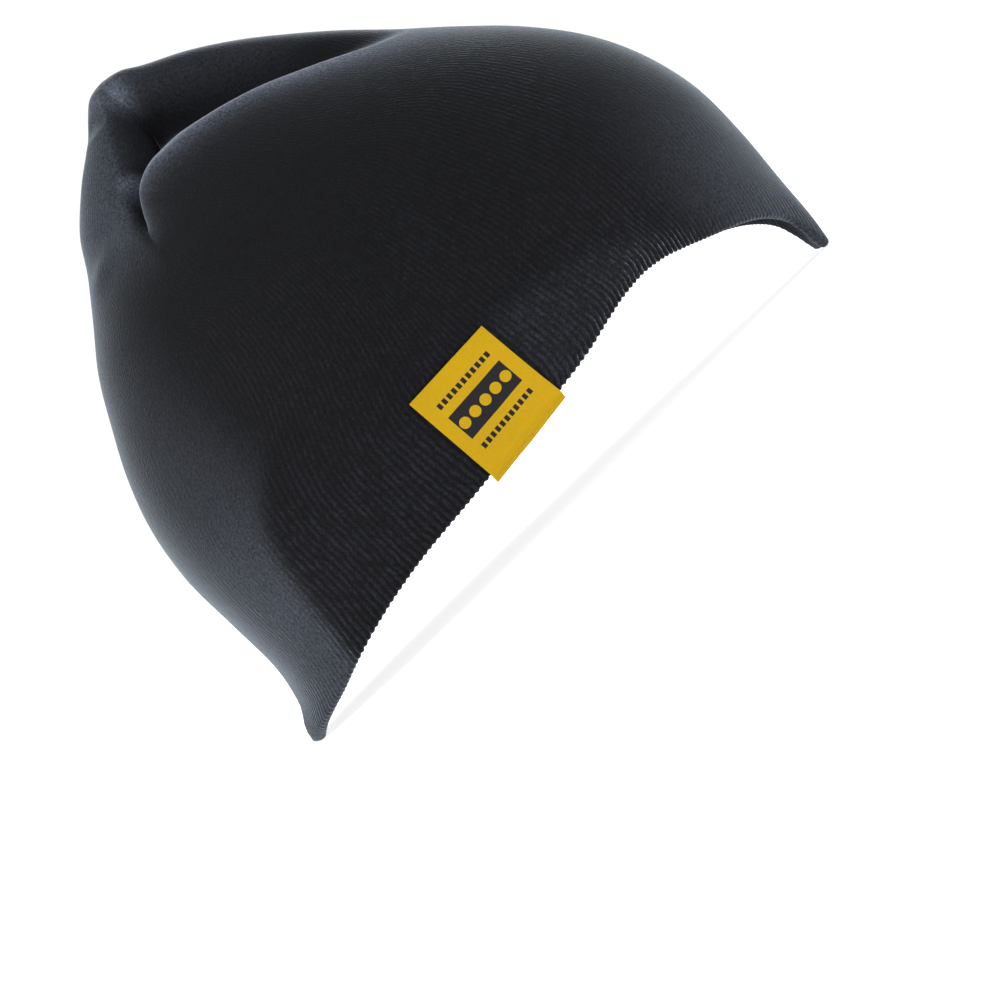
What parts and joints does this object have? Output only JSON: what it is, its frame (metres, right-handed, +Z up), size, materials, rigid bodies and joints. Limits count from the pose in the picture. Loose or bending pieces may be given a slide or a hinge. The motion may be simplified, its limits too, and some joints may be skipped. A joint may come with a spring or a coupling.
{
  "type": "knit skull cap",
  "caption": "Close-fitting double-layer rib knit cap with a folded crown, a plain arched rim and a small woven hem label.",
  "frame": {"origin": "centre of the cap's box at the floor that its rim stands on", "axes": "+X towards the brow, +Y towards the left side, +Z up to the crown's tip; the hem label is on the right side, towards -Y"},
  "size_m": [0.2145, 0.1659, 0.183],
  "materials": {
    "rib_knit": "matt fine rib jersey with a short brushed fuzz",
    "woven_label": "smooth woven damask tape"
  },
  "bodies": {
    "root": {"knit_shell": "rib_knit", "hem_label": "woven_label"}
  },
  "joints": []
}
